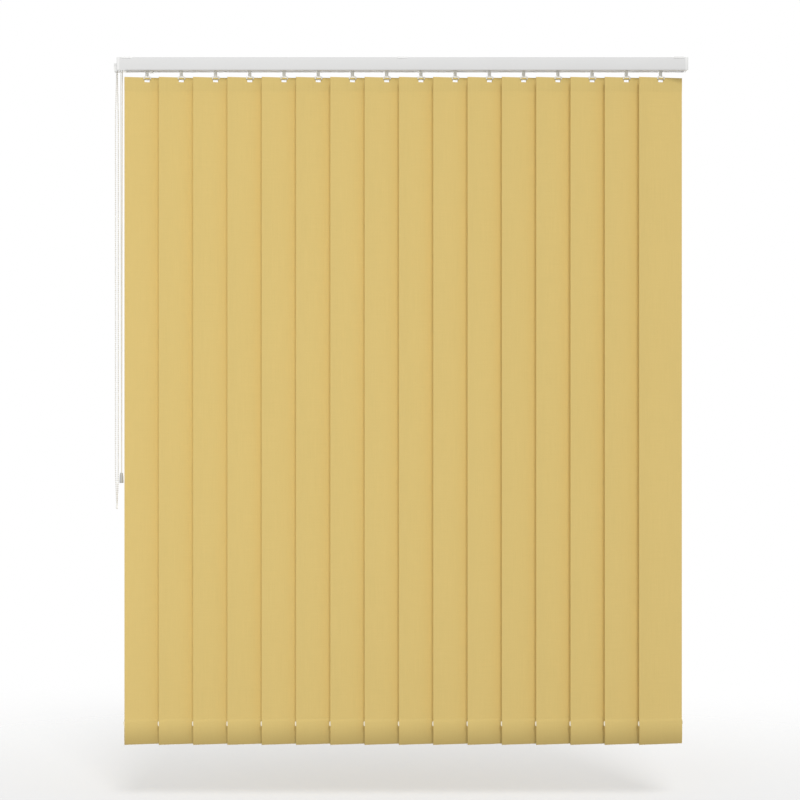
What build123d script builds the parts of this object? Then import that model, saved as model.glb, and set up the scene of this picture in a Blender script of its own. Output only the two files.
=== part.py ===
"""Vertical fabric blind with a chain for the tilt and a cord for the traverse, in millimetres.

X runs along the headrail, Y from the room towards the window and Z up. The origin is the centre of
the three fixing holes, on the plane that the brackets are screwed to.
"""

import math
import os

from build123d import *

# Vanes
VANE_COUNT = 16
VANE_WIDTH = 89.0
VANE_LENGTH = 1305.0
VANE_PITCH = 67.0
CLOSED_ANGLE = 15.0  # the vanes' angle to the rail when closed, in degrees
FABRIC = 0.5
SEAM_HEIGHT = 27.0  # depth of the top pocket
HEM_HEIGHT = 50.0
HEM_SHOULDER = 3.5  # height over which the hem opens out below its seam
HOOK_SLOT_WIDTH = 10.0
HOOK_SLOT_HEIGHT = 5.5

# Bottom weights
WEIGHT_THICKNESS = 1.6
WEIGHT_HEIGHT = 42.0
WEIGHT_SIDE_INSET = 1.5
EAR_REACH = 2.0  # how far an ear stands out of the hem
EAR_HEIGHT = 10.0

# Hanger plates
HANGER_THICKNESS = 1.0
HANGER_HEIGHT = 12.0
HANGER_SIDE_INSET = 2.0
HANGER_TOP_BAND = 3.0  # material above the hole that carries the vane

# Hooks
HOOK_DROP = 12.2  # from the rail's underside to the vane's top edge
STEM_WIDTH = 6.0
STEM_THICKNESS = 2.6
HOOK_WIDTH = 15.0
HOOK_ARM = 2.0  # width of the two arms that lead down to the prong
HOOK_PLATE = 1.6
PRONG_WIDTH = 8.0
PRONG_HEIGHT = 1.8
LIP_HEIGHT = 2.2
LIP_THICKNESS = 1.2
SHOULDER_GAP = 1.0  # from the vane's top edge up to the hook's shoulder
WORM_WHEEL_TEETH = 6
WORM_WHEEL_RADIUS = 5.9
WORM_WHEEL_HEIGHT = 5.0
WORM_THREAD = 1.25  # how far the worm's thread stands out from the rod towards the wheel
TOOTH_DEPTH = 1.9
TOOTH_TIP = 0.14  # half widths of a tooth at its tip and root, as shares of the tooth pitch
TOOTH_ROOT = 0.3

# Headrail
RAIL_DEPTH = 40.0
RAIL_HEIGHT = 25.6
RAIL_WALL = 1.2
RAIL_BOW = 0.8  # how far the front face swells
RAIL_CORNER = 1.4
CLIP_CHANNEL_HEIGHT = 2.2
CLIP_OPENING = 30.0
LEDGE_REACH = 3.4
RAIL_SLOT = 8.0
CONTROL_END_ROOM = 52.2  # from the first vane's axis to the end of the rail
FAR_END_ROOM = 46.8

# Carriers
CARRIER_LENGTH = 15.5
PASSAGE_FLATS = 6  # of the truck's passage for the tilt rod
STACK_PITCH = 17.0
GLIDE_WIDTH = 2.4
GLIDE_HEIGHT = 3.7
ARM_THICKNESS = 2.4
SEAT_THICKNESS = 2.55  # of the truck's floor, in which the hook's stem turns
CLIP_THICKNESS = 1.2  # of the lead truck's finger under the cord
CLIP_LENGTH = 7.75
FOOT_START = 5.5  # the first truck's foot under the rail, from the vane's axis
FOOT_END = 12.0
FOOT_THICKNESS = 3.2
FOOT_GRIP = 2.0  # how far it reaches past the slot's edges
SPACER_THICKNESS = 0.3
SPACER_WIDTH = 5.0
SPACER_OVERLAP = 5.0  # how far a spacer reaches over the next carrier

# Tilt rod and chain wheel
ROD_RADIUS = 3.0
ROD_Y = 8.0
ROD_FLATS = 12
ROD_GROOVES = 3
ROD_GROOVE_WIDTH = 1.2
ROD_GROOVE_DEPTH = 0.8
CHAIN_DIAMETER = 3.0
CHAIN_PITCH_RADIUS = 5.5
CHAIN_DROP = 856.0  # from the wheel's axis to the top of the joiner
CHAIN_TWIST = 2.1  # how far the strands swing out along the rail as they hang
CHAIN_TWIST_START = 25.0  # below the wheel's axis
CHAIN_TWIST_END = 85.0
CHAIN_GATHER = 50.0  # above the joiner, where the strands start to close in
CHAIN_END_SPACING = 3.4
CHAIN_POCKETS = 8
WHEEL_FLANGE = 1.0
WHEEL_FLANGE_RADIUS = 6.9
WHEEL_NOTCH = 1.2  # depth of the notches between the wheel's teeth
WHEEL_JOURNAL_RADIUS = 7.1
WHEEL_PIVOT_RADIUS = 2.5
JOINER_HEIGHT = 8.0
JOINER_DEPTH = 7.0
JOINER_WIDTH = 3.6

# End caps
CAP_THICKNESS = 5.5
CAP_EDGE = 0.8
GUARD_WALL = 2.0
GUARD_DROP = 7.5  # from the wheel's axis to the guard's open lower end
GUARD_LEAN = 0.9  # how far the guard's lower half leans in towards the chain
TRAY_FLOOR = 2.0
TRAY_WALL = 2.0
TRAY_LENGTH = 12.0
SHELF_THICKNESS = 1.4
SHELF_MARGIN = 2.0  # how far the shelf reaches past the return pulley's pin
BEARING_LENGTH = 10.0
BEARING_WALL = 2.4
PULLEY_END_GAP = 2.7  # between the cord on the return pulley and the far cap

# Draw cord, its pulleys and weight
CORD_SIDES = 6  # the cords' sections are hexagons, which keeps their bends light
CORD_DIAMETER = 1.8
CONTROL_PULLEY_RADIUS = 5.0  # to the middle of the cord
PULLEY_WIDTH = 2.8
PULLEY_RIM = 0.7  # how far a pulley's rim stands above the middle of the cord
PULLEY_FLANGE = 0.3
CONTROL_PULLEY_SIDES = 16
RETURN_PULLEY_SIDES = 20
CONTROL_PIN_RADIUS = 1.5
RETURN_PIN_RADIUS = 2.0
CORD_GUIDE = 2.8  # width of the square eye that the cord leaves by
CORD_INSET = 2.0  # from the control cap's inner face to the middle of the hanging cord
CORD_DROP = 800.0  # from the cord's run in the rail to the weight's top
CORD_WEIGHT_RADIUS = 4.6
CORD_WEIGHT_NECK_RADIUS = 3.2
CORD_WEIGHT_HEIGHT = 20.0
CORD_WEIGHT_SKIRT = 5.0  # height of its straight lower part
CORD_WEIGHT_FLATS = 12
CORD_END_SPACING = 3.2

# Brackets
BRACKET_THICKNESS = 1.2
BRACKET_WIDTH = 20.0
BRACKET_INSET = 13.0  # from the end of the rail to the outer brackets' centres
BRACKET_LIP = 3.0
BRACKET_LIP_THICKNESS = 0.9
BRACKET_FOOT_WIDTH = 8.0
BRACKET_FOOT_REACH = 2.0
BRACKET_HOLE_RADIUS = 2.4

# Clearances
RUNNING_GAP = 0.3  # between pieces that move past each other
FIT = 0.06  # radial, of a shaft in its bearing
SEAT_GAP = 0.1  # between a pocket and what it holds
FINGER_GAP = 0.5  # around the cord where carriers pass it

# The rail's section, in Y and Z
rail_top = -BRACKET_THICKNESS
rail_bottom = rail_top - RAIL_HEIGHT
rail_front = -RAIL_DEPTH / 2
rail_back = RAIL_DEPTH / 2
inner_half = RAIL_DEPTH / 2 - RAIL_BOW - RAIL_WALL
channel_floor = rail_top - RAIL_WALL - CLIP_CHANNEL_HEIGHT
inside_top = channel_floor - RAIL_WALL
inside_bottom = rail_bottom + RAIL_WALL

# Along the rail
array_length = (VANE_COUNT - 1) * VANE_PITCH
rail_length = array_length + CONTROL_END_ROOM + FAR_END_ROOM
rail_left = -rail_length / 2
rail_right = rail_length / 2
first_vane_x = rail_left + CONTROL_END_ROOM

# Spacers rise towards their tails, so that they nest when the vanes are stacked
spacer_length = VANE_PITCH - CARRIER_LENGTH / 2 + SPACER_OVERLAP + SPACER_WIDTH / 2
spacer_slope = (SPACER_THICKNESS + RUNNING_GAP) / STACK_PITCH
spacer_room = spacer_length * spacer_slope + SPACER_THICKNESS + RUNNING_GAP

# Carriers hang between the ledges
carrier_top = inside_top - spacer_room
ledge_top = carrier_top - GLIDE_HEIGHT - RUNNING_GAP
ledge_edge = rail_back - RAIL_WALL - LEDGE_REACH
glide_outer = inner_half - RUNNING_GAP
carrier_bottom = inside_bottom + 2 * RUNNING_GAP
cord_radius = CORD_DIAMETER / 2
cord_y = ledge_edge - cord_radius - 2 * RUNNING_GAP
cord_z = carrier_top - ARM_THICKNESS - FINGER_GAP - cord_radius
carrier_half = cord_y - cord_radius - RUNNING_GAP

# The rod lies beside the hooks' worm wheels, in the middle of their height
worm_wheel_bottom = carrier_bottom + SEAT_THICKNESS + RUNNING_GAP
rod_z = worm_wheel_bottom + WORM_WHEEL_HEIGHT / 2
hook_y = ROD_Y - ROD_RADIUS - WORM_THREAD - WORM_WHEEL_RADIUS
vane_top = rail_bottom - HOOK_DROP
vane_bottom = vane_top - VANE_LENGTH

# The draw cord's turning points
cord_x = rail_left + CORD_INSET
control_pulley_x = cord_x + CONTROL_PULLEY_RADIUS
control_pulley_z = cord_z - CONTROL_PULLEY_RADIUS
return_pulley_x = rail_right - PULLEY_END_GAP - cord_radius - cord_y
cord_weight_top = cord_z - CORD_DROP

# The chain wheel's groove
groove_width = CHAIN_DIAMETER + 2 * RUNNING_GAP
groove_right = rail_left - CAP_THICKNESS - 2 * RUNNING_GAP
groove_left = groove_right - groove_width
guard_inner_face = groove_left - WHEEL_FLANGE - RUNNING_GAP
guard_left = guard_inner_face - GUARD_WALL
guard_inner_radius = CHAIN_PITCH_RADIUS + CHAIN_DIAMETER / 2 + FINGER_GAP
chain_x = (groove_left + groove_right) / 2


def block(x0, x1, y0, y1, z0, z1):
    """A box between two corners."""
    size = Box(x1 - x0, y1 - y0, z1 - z0)
    return Pos((x0 + x1) / 2, (y0 + y1) / 2, (z0 + z1) / 2) * size


def round_x(x0, x1, y, z, radius):
    """A cylinder along X."""
    return Pos((x0 + x1) / 2, y, z) * Rot(0, 90, 0) * Cylinder(radius, x1 - x0)


def round_y(y0, y1, x, z, radius):
    """A cylinder along Y."""
    return Pos(x, (y0 + y1) / 2, z) * Rot(90, 0, 0) * Cylinder(radius, y1 - y0)


def round_z(z0, z1, x, y, radius):
    """A cylinder along Z."""
    return Pos(x, y, (z0 + z1) / 2) * Cylinder(radius, z1 - z0)


def section_x(points, x0, x1):
    """A closed outline of (y, z) points, run along X."""
    face = Plane.YZ * make_face(Polyline(*points, close=True))
    return Pos(x0, 0, 0) * extrude(face, amount=x1 - x0)


def mirrored(points):
    """An outline's right half with its mirror image, as one closed loop about the Z axis."""
    return points + [(-y, z) for y, z in reversed(points)]


def save(shape, node):
    export_step(shape, f"parts/{node}.step")


def rail_outline():
    """The rail's outer section: flat top, back and underside, and a front that swells a little."""
    front_top = (rail_front + RAIL_BOW, rail_top)
    front_bottom = (rail_front + RAIL_BOW, rail_bottom)
    swell = (rail_front, (rail_top + rail_bottom) / 2)
    edges = [
        Line((rail_back, rail_top), front_top),
        ThreePointArc(front_top, swell, front_bottom),
        Line(front_bottom, (rail_back, rail_bottom)),
        Line((rail_back, rail_bottom), (rail_back, rail_top)),
    ]
    outline = make_face(edges)
    lower = outline.vertices().sort_by(Axis.Y)[:2]
    return fillet(lower, RAIL_CORNER)


def headrail():
    """The extruded rail: clip channel on top, a runner ledge down each side, a slot underneath."""
    outer = rail_outline()
    hollow = offset(outer, -RAIL_WALL, kind=Kind.INTERSECTION)
    cavity_height = inside_top - inside_bottom
    cavity = Pos(0, inside_top - cavity_height / 2) * Rectangle(2 * RAIL_DEPTH, cavity_height)
    channel = Pos(0, channel_floor + CLIP_CHANNEL_HEIGHT / 2)
    channel *= Rectangle(2 * RAIL_DEPTH, CLIP_CHANNEL_HEIGHT)
    opening = Pos(0, rail_top) * Rectangle(CLIP_OPENING, 2 * RAIL_WALL + SEAT_GAP)
    slot = Pos(hook_y, rail_bottom) * Rectangle(RAIL_SLOT, 2 * RAIL_WALL + SEAT_GAP)
    section = outer - (hollow & cavity) - (hollow & channel) - opening - slot
    ledge_y = (ledge_edge + rail_back - RAIL_WALL / 2) / 2
    ledge_width = rail_back - RAIL_WALL / 2 - ledge_edge
    for side in (-1, 1):
        section += Pos(side * ledge_y, ledge_top - RAIL_WALL / 2) * Rectangle(ledge_width, RAIL_WALL)
    rail = Pos(rail_left, 0, 0) * extrude(Plane.YZ * section, amount=rail_length)
    # The control end's underside is cut away for the tray that guides the cord out.
    tray_half = inner_half - RUNNING_GAP
    return rail - block(
        rail_left, rail_left + TRAY_LENGTH, -tray_half, tray_half, rail_bottom, inside_bottom
    )


def cap_plate(x0, x1, outer_face):
    """An end plate with the rail's outline, its outer edge broken by a chamfer."""
    plate = Pos(x0, 0, 0) * extrude(Plane.YZ * rail_outline(), amount=x1 - x0)
    rim = plate.faces().sort_by(Axis.X)[outer_face].edges()
    return chamfer(rim, CAP_EDGE)


def guard_section(reach, drop, x0, x1):
    """A block round the chain wheel with cut-off upper corners, from x0 to x1."""
    corner = reach * math.tan(math.pi / 8)
    right = [(reach, -drop), (reach, corner), (corner, reach)]
    return Pos(0, ROD_Y, rod_z) * section_x(mirrored(right), x0, x1)


def control_end_cap():
    """The control end's moulding: plate, wheel guard outside it and pulley tray inside the rail."""
    plate_face = rail_left - CAP_THICKNESS
    cap = cap_plate(plate_face, rail_left, 0)
    outer_reach = guard_inner_radius + GUARD_WALL
    guard = guard_section(outer_reach, GUARD_DROP, guard_left, plate_face)
    lean = Polyline(
        (guard_left, rod_z),
        (guard_left + GUARD_LEAN, rod_z - GUARD_DROP),
        (guard_left, rod_z - GUARD_DROP),
        close=True,
    )
    guard -= Pos(0, ROD_Y, 0) * extrude(Plane.XZ * make_face(lean), amount=outer_reach, both=True)
    guard -= guard_section(guard_inner_radius, GUARD_DROP, guard_inner_face, plate_face)
    cap += guard
    cap -= round_x(plate_face, rail_left, ROD_Y, rod_z, WHEEL_JOURNAL_RADIUS + FIT)
    cap -= round_x(guard_left, guard_inner_face, ROD_Y, rod_z, WHEEL_PIVOT_RADIUS + FIT)

    # The tray fills the cut in the rail's underside and holds each pulley's pin in a cheek.
    tray_half = inner_half - 2 * RUNNING_GAP
    tray_right = rail_left + TRAY_LENGTH - RUNNING_GAP
    floor_top = rail_bottom + TRAY_FLOOR
    cap += block(rail_left, tray_right, -tray_half, tray_half, rail_bottom, floor_top)
    cheek_inner = cord_y + PULLEY_WIDTH / 2 + RUNNING_GAP
    cheek_top = ledge_top - RAIL_WALL - RUNNING_GAP
    pin_end = cord_y - PULLEY_WIDTH / 2
    for side in (-1, 1):
        near, far = sorted((side * cheek_inner, side * tray_half))
        cap += block(rail_left, tray_right, near, far, floor_top, cheek_top)
        pin_near, pin_far = sorted((side * pin_end, side * tray_half))
        cap += round_y(pin_near, pin_far, control_pulley_x, control_pulley_z, CONTROL_PIN_RADIUS)
        cap -= Pos(cord_x, side * cord_y, floor_top) * Box(CORD_GUIDE, CORD_GUIDE, 2 * TRAY_FLOOR)
    return cap


def far_end_cap():
    """The far end's moulding: plate, the tilt rod's bearing and the return pulley's shelf and pin."""
    cap = cap_plate(rail_right, rail_right + CAP_THICKNESS, -1)
    half = ROD_RADIUS + BEARING_WALL
    bearing_left = rail_right - BEARING_LENGTH
    shelf_top = cord_z - PULLEY_WIDTH / 2 - RUNNING_GAP
    shelf_bottom = shelf_top - SHELF_THICKNESS
    shelf_half = ledge_edge - RUNNING_GAP
    shelf_left = return_pulley_x - RETURN_PIN_RADIUS - SHELF_MARGIN
    cap += block(shelf_left, rail_right, -shelf_half, shelf_half, shelf_bottom, shelf_top)
    cap += block(bearing_left, rail_right, ROD_Y - half, ROD_Y + half, rod_z - half, shelf_bottom)
    cap -= round_x(bearing_left, rail_right, ROD_Y, rod_z, ROD_RADIUS + FIT)
    pin_top = cord_z + PULLEY_WIDTH / 2
    cap += round_z(shelf_top, pin_top, return_pulley_x, 0, RETURN_PIN_RADIUS)
    return cap


def brackets():
    """Three clips, each a plate with a front and a back lip and two feet under the rail's top lips."""
    outer = BRACKET_INSET + rail_left
    clips = [bracket(x) for x in (outer, 0, -outer)]
    return Compound(children=clips)


def bracket(x):
    """One clip: its feet reach down through the rail's opening and outwards under its lips."""
    left = x - BRACKET_WIDTH / 2
    right = x + BRACKET_WIDTH / 2
    front = rail_front + RAIL_BOW - RUNNING_GAP
    back = rail_back + RUNNING_GAP
    lip = BRACKET_LIP_THICKNESS
    clip = block(left, right, front - lip, back + lip, rail_top, 0)
    clip += block(left, right, front - lip, front, -BRACKET_LIP, rail_top)
    clip += block(left, right, back, back + lip, -BRACKET_LIP, rail_top)
    foot_left = x - BRACKET_FOOT_WIDTH / 2
    foot_right = x + BRACKET_FOOT_WIDTH / 2
    outer = CLIP_OPENING / 2 - RUNNING_GAP
    foot_top = rail_top - RAIL_WALL - RUNNING_GAP
    foot_bottom = foot_top - lip
    for side in (-1, 1):
        leg = sorted((side * (outer - lip), side * outer))
        clip += block(foot_left, foot_right, leg[0], leg[1], foot_bottom, rail_top)
        toe = sorted((side * (outer - lip), side * (outer + BRACKET_FOOT_REACH)))
        clip += block(foot_left, foot_right, toe[0], toe[1], foot_bottom, foot_top)
    return clip - round_z(rail_top, 0, x, 0, BRACKET_HOLE_RADIUS)


def tilt_rod():
    """The drawn rod with its three keyways, from inside the chain wheel to the far cap's bearing."""
    section = RegularPolygon(ROD_RADIUS, ROD_FLATS)
    for turn in range(ROD_GROOVES):
        keyway = Pos(ROD_RADIUS, 0) * Rectangle(2 * ROD_GROOVE_DEPTH, ROD_GROOVE_WIDTH)
        section -= Rot(0, 0, 360 * turn / ROD_GROOVES) * keyway
    start = groove_left
    end = rail_right - RUNNING_GAP
    return Pos(start, ROD_Y, rod_z) * extrude(Plane.YZ * section, amount=end - start)


def star(outer, inner, points):
    """A closed outline that steps between two radii, with as many teeth as points."""
    corners = []
    for tooth in range(points):
        flank = ((-TOOTH_ROOT, inner), (-TOOTH_TIP, outer), (TOOTH_TIP, outer), (TOOTH_ROOT, inner))
        for share, radius in flank:
            angle = 2 * math.pi * (tooth + share) / points
            corners.append((radius * math.cos(angle), radius * math.sin(angle)))
    return make_face(Polyline(*corners, close=True))


def chain_wheel():
    """The wheel that the chain turns: outer pivot, toothed flange, groove and the cap's wide journal."""
    core_radius = CHAIN_PITCH_RADIUS - CHAIN_DIAMETER / 2 - RUNNING_GAP
    flange_left = groove_left - WHEEL_FLANGE
    flange = star(WHEEL_FLANGE_RADIUS, WHEEL_FLANGE_RADIUS - WHEEL_NOTCH, CHAIN_POCKETS)
    core = RegularPolygon(core_radius, CHAIN_POCKETS)
    wheel = round_x(guard_left, flange_left, ROD_Y, rod_z, WHEEL_PIVOT_RADIUS)
    wheel += Pos(flange_left, ROD_Y, rod_z) * extrude(Plane.YZ * flange, amount=WHEEL_FLANGE)
    wheel += Pos(groove_left, ROD_Y, rod_z) * extrude(Plane.YZ * core, amount=groove_width)
    wheel += round_x(groove_right, rail_left, ROD_Y, rod_z, WHEEL_JOURNAL_RADIUS)
    socket = RegularPolygon(ROD_RADIUS + SEAT_GAP, ROD_FLATS)
    depth = rail_left - groove_left + SEAT_GAP
    wheel -= Pos(rail_left - depth, ROD_Y, rod_z) * extrude(Plane.YZ * socket, amount=depth)
    return wheel


def pulley(radius, bore, sides):
    """A moulded pulley about the Z axis, for a cord whose middle runs at the given radius."""
    rim = RegularPolygon(radius + PULLEY_RIM, sides)
    floor = RegularPolygon(radius - cord_radius - SEAT_GAP, sides)
    wheel = extrude(rim, amount=PULLEY_WIDTH / 2, both=True)
    wheel -= extrude(rim - floor, amount=PULLEY_WIDTH / 2 - PULLEY_FLANGE, both=True)
    return wheel - Cylinder(bore, PULLEY_WIDTH)


def control_pulley(side):
    """One of the two pulleys that turn the cord down out of the rail, on its pin along Y."""
    wheel = pulley(CONTROL_PULLEY_RADIUS, CONTROL_PIN_RADIUS + FIT, CONTROL_PULLEY_SIDES)
    return Pos(control_pulley_x, side * cord_y, control_pulley_z) * Rot(90, 0, 0) * wheel


def return_pulley():
    """The flat-lying pulley that sends the cord back along the rail."""
    wheel = pulley(cord_y, RETURN_PIN_RADIUS + FIT, RETURN_PULLEY_SIDES)
    return Pos(return_pulley_x, 0, cord_z) * wheel


def carrier(number):
    """A truck on its glides, with an open chamber for the worm wheel and a passage for the rod.

    The worm turns inside the closed rear half. The first stays where it is, held by a foot through
    the rail's slot. All the others have a spacer that reaches to the carrier before, and the last
    leads: a finger under one arm grips the draw cord.
    """
    x = vane_x(number)
    left = x - CARRIER_LENGTH / 2
    right = x + CARRIER_LENGTH / 2
    arm_bottom = carrier_top - ARM_THICKNESS
    half_section = [
        (carrier_half, carrier_bottom),
        (carrier_half, arm_bottom),
        (glide_outer - GLIDE_WIDTH, arm_bottom),
        (glide_outer - GLIDE_WIDTH, carrier_top - GLIDE_HEIGHT),
        (glide_outer, carrier_top - GLIDE_HEIGHT),
        (glide_outer, carrier_top),
    ]
    truck = section_x(mirrored(half_section), left, right)
    passage_radius = (ROD_RADIUS + RUNNING_GAP) / math.cos(math.pi / PASSAGE_FLATS)
    passage = Plane.YZ * RegularPolygon(passage_radius, PASSAGE_FLATS)
    truck -= Pos(left, ROD_Y, rod_z) * extrude(passage, amount=CARRIER_LENGTH)
    chamber_half = WORM_WHEEL_RADIUS + RUNNING_GAP
    shelf_top = worm_wheel_bottom - RUNNING_GAP
    chamber_top = worm_wheel_bottom + WORM_WHEEL_HEIGHT + RUNNING_GAP
    truck -= block(
        x - chamber_half, x + chamber_half, -carrier_half, hook_y + chamber_half, shelf_top, chamber_top
    )
    seat = math.hypot(STEM_WIDTH / 2, STEM_THICKNESS / 2) + FIT
    truck -= round_z(carrier_bottom, shelf_top, x, hook_y, seat)
    truck -= block(x - seat, x + seat, -carrier_half, hook_y, carrier_bottom, shelf_top)
    if number == VANE_COUNT:
        grip = cord_z - cord_radius - RUNNING_GAP
        finger_end = -ledge_edge + RUNNING_GAP
        truck += block(
            x - CLIP_LENGTH / 2, x + CLIP_LENGTH / 2, finger_end, -carrier_half, grip - CLIP_THICKNESS, grip
        )
    if number == 1:
        return truck + slot_foot(x, right)
    return Compound(children=[truck, spacer(x)])


def slot_foot(x, right):
    """The first truck's foot: a neck down through the rail's slot and a wider sole under it."""
    left = x + FOOT_START
    neck = RAIL_SLOT / 2 - RUNNING_GAP
    sole = RAIL_SLOT / 2 + FOOT_GRIP
    sole_top = rail_bottom - RUNNING_GAP
    foot = block(left, right, hook_y - neck, hook_y + neck, sole_top, carrier_bottom)
    foot += block(
        left, x + FOOT_END, hook_y - sole, hook_y + sole, sole_top - FOOT_THICKNESS, sole_top
    )
    return foot


def spacer(x):
    """A thin strip, hinged on its carrier's top and rising towards its tail."""
    half = SPACER_WIDTH / 2
    strip = block(-spacer_length, 0, -half, half, 0, SPACER_THICKNESS)
    tilt = math.degrees(math.atan(spacer_slope))
    return Pos(x + half, 0, carrier_top) * Rot(0, tilt, 0) * strip


def vane_x(number):
    """The place along the rail of a vane's axis, numbered from 1 at the control end."""
    return first_vane_x + (number - 1) * VANE_PITCH


def at_vane(number, solids):
    """Turns solids made about the vane's own axis to the closed angle, at their place on the rail."""
    place = Pos(vane_x(number), hook_y, 0) * Rot(0, 0, CLOSED_ANGLE)
    return Compound(children=[place * solid for solid in solids])


def worm_wheel():
    """The hook's gear: straight flanks that narrow towards the tooth tips."""
    outline = star(WORM_WHEEL_RADIUS, WORM_WHEEL_RADIUS - TOOTH_DEPTH, WORM_WHEEL_TEETH)
    return Pos(0, 0, worm_wheel_bottom) * extrude(outline, amount=WORM_WHEEL_HEIGHT)


def hook():
    """Worm wheel, flat stem and two arms in front of the vane, with a prong between their ends."""
    pocket_half = HANGER_THICKNESS / 2 + SEAT_GAP + FABRIC
    plate_back = -pocket_half - RUNNING_GAP
    plate_front = plate_back - HOOK_PLATE
    lip_front = pocket_half + RUNNING_GAP
    lip_back = lip_front + LIP_THICKNESS
    stem_half = STEM_THICKNESS / 2
    prong_top = vane_top - FABRIC - SEAT_GAP - HANGER_TOP_BAND
    prong_bottom = prong_top - PRONG_HEIGHT
    stem_top = worm_wheel_bottom
    shoulder_bottom = vane_top + SHOULDER_GAP
    shoulder_top = shoulder_bottom + PRONG_HEIGHT
    side_view = [
        (stem_half, stem_top),
        (stem_half, shoulder_bottom),
        (plate_back, shoulder_bottom),
        (plate_back, prong_top),
        (lip_front, prong_top),
        (lip_front, prong_top + LIP_HEIGHT),
        (lip_back, prong_top + LIP_HEIGHT),
        (lip_back, prong_bottom),
        (plate_front, prong_bottom),
        (plate_front, shoulder_top),
        (-stem_half, shoulder_top),
        (-stem_half, stem_top),
    ]
    front_view = [
        (PRONG_WIDTH / 2, prong_bottom),
        (HOOK_WIDTH / 2, prong_top),
        (HOOK_WIDTH / 2, shoulder_bottom),
        (STEM_WIDTH / 2, shoulder_top),
        (STEM_WIDTH / 2, stem_top),
    ]
    side = section_x(side_view, -HOOK_WIDTH, HOOK_WIDTH)
    front = Plane.XZ * make_face(Polyline(*mirrored(front_view), close=True))
    flat = side & extrude(front, amount=HOOK_WIDTH, both=True)
    arm_inside = HOOK_WIDTH / 2 - HOOK_ARM
    flat -= block(-arm_inside, arm_inside, plate_front, plate_back, prong_top, shoulder_bottom)
    # The prong alone goes through the vane's slot, so the lip is as narrow as the prong.
    behind = block(
        PRONG_WIDTH / 2, HOOK_WIDTH, plate_back, HOOK_WIDTH, prong_bottom, prong_top + LIP_HEIGHT
    )
    flat -= behind + mirror(behind, Plane.YZ)
    return worm_wheel() + flat


def hanger():
    """The plate in the vane's top pocket, hung by its hole on the hook's prong."""
    half = VANE_WIDTH / 2 - HANGER_SIDE_INSET
    top = vane_top - FABRIC - SEAT_GAP
    thick = HANGER_THICKNESS / 2
    plate = block(-half, half, -thick, thick, top - HANGER_HEIGHT, top)
    hole_top = top - HANGER_TOP_BAND
    hole_half = HOOK_SLOT_WIDTH / 2
    return plate - block(-hole_half, hole_half, -thick, thick, hole_top - HOOK_SLOT_HEIGHT, hole_top)


def vane_fabric():
    """One length of fabric: top pocket round the hanger, single sheet, hem pocket round the weight."""
    single = FABRIC / 2
    top_half = HANGER_THICKNESS / 2 + SEAT_GAP + FABRIC
    seam = vane_top - SEAM_HEIGHT
    below_hanger = vane_top - FABRIC - 2 * SEAT_GAP - HANGER_HEIGHT
    pinch = (below_hanger + seam) / 2
    hem_top = vane_bottom + HEM_HEIGHT
    hem_half = WEIGHT_THICKNESS / 2 + SEAT_GAP + FABRIC
    hem_wide = hem_top - HEM_SHOULDER
    right = [
        (top_half, vane_top),
        (top_half, below_hanger),
        (FABRIC, pinch),
        (FABRIC, seam),
        (single, seam),
        (single, hem_top),
        (hem_half, hem_wide),
        (hem_half, vane_bottom + FABRIC),
        (hem_half - FABRIC / 2, vane_bottom),
    ]
    section = make_face(Polyline(*mirrored(right), close=True))
    top_inner = top_half - FABRIC
    top_pocket = [(top_inner, vane_top - FABRIC), (top_inner, below_hanger), (0, pinch)]
    top_pocket += [(-top_inner, below_hanger), (-top_inner, vane_top - FABRIC)]
    section -= make_face(Polyline(*top_pocket, close=True))
    hem_inner = hem_half - FABRIC
    hem_floor = vane_bottom + FABRIC
    hem_pocket = [(hem_inner, hem_wide), (hem_inner, hem_floor), (-hem_inner, hem_floor)]
    hem_pocket += [(-hem_inner, hem_wide), (0, hem_top - FABRIC)]
    section -= make_face(Polyline(*hem_pocket, close=True))
    sheet = Pos(-VANE_WIDTH / 2, 0, 0) * extrude(Plane.YZ * section, amount=VANE_WIDTH)
    slot_half = HOOK_SLOT_WIDTH / 2 + SEAT_GAP
    slot_top = vane_top - FABRIC - HANGER_TOP_BAND
    slot_bottom = slot_top - HOOK_SLOT_HEIGHT - 2 * SEAT_GAP
    return sheet - block(-slot_half, slot_half, -top_half, top_half, slot_bottom, slot_top)


def bottom_weight():
    """The flat bar in the hem, with an ear at each top corner that stands out of the fabric."""
    top = vane_bottom + HEM_HEIGHT - HEM_SHOULDER - SEAT_GAP
    bottom = top - WEIGHT_HEIGHT
    half = VANE_WIDTH / 2 - WEIGHT_SIDE_INSET
    ear = VANE_WIDTH / 2 + EAR_REACH
    right = [
        (half, bottom),
        (half, top - EAR_HEIGHT),
        (ear, top - EAR_HEIGHT + EAR_REACH),
        (ear, top),
    ]
    face = Plane.XZ * make_face(Polyline(*mirrored(right), close=True))
    return extrude(face, amount=WEIGHT_THICKNESS / 2, both=True)


def free_radius(before, corner, after):
    """The largest arc that a corner between two free runs takes, by the shorter run."""
    first = Vector(*corner) - Vector(*before)
    second = Vector(*after) - Vector(*corner)
    half_turn = math.radians(first.get_angle(second)) / 2
    return 0.45 * min(first.length, second.length) / math.tan(half_turn)


def tube(points, radii, radius, name):
    """A cord along straight runs joined by arcs; prints its length, radii and volume check."""
    path = FilletPolyline(*points, radius=radii)
    section = Plane(origin=path @ 0, z_dir=path % 0) * RegularPolygon(radius, CORD_SIDES)
    cord = sweep(section, path)
    expected = section.area * path.length
    arcs = ", ".join(f"{r:.1f}" for r in radii)
    print(f"{name}: length {path.length:.1f}, radii {arcs}, volume share {cord.volume / expected:.4f}")
    return cord


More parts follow.
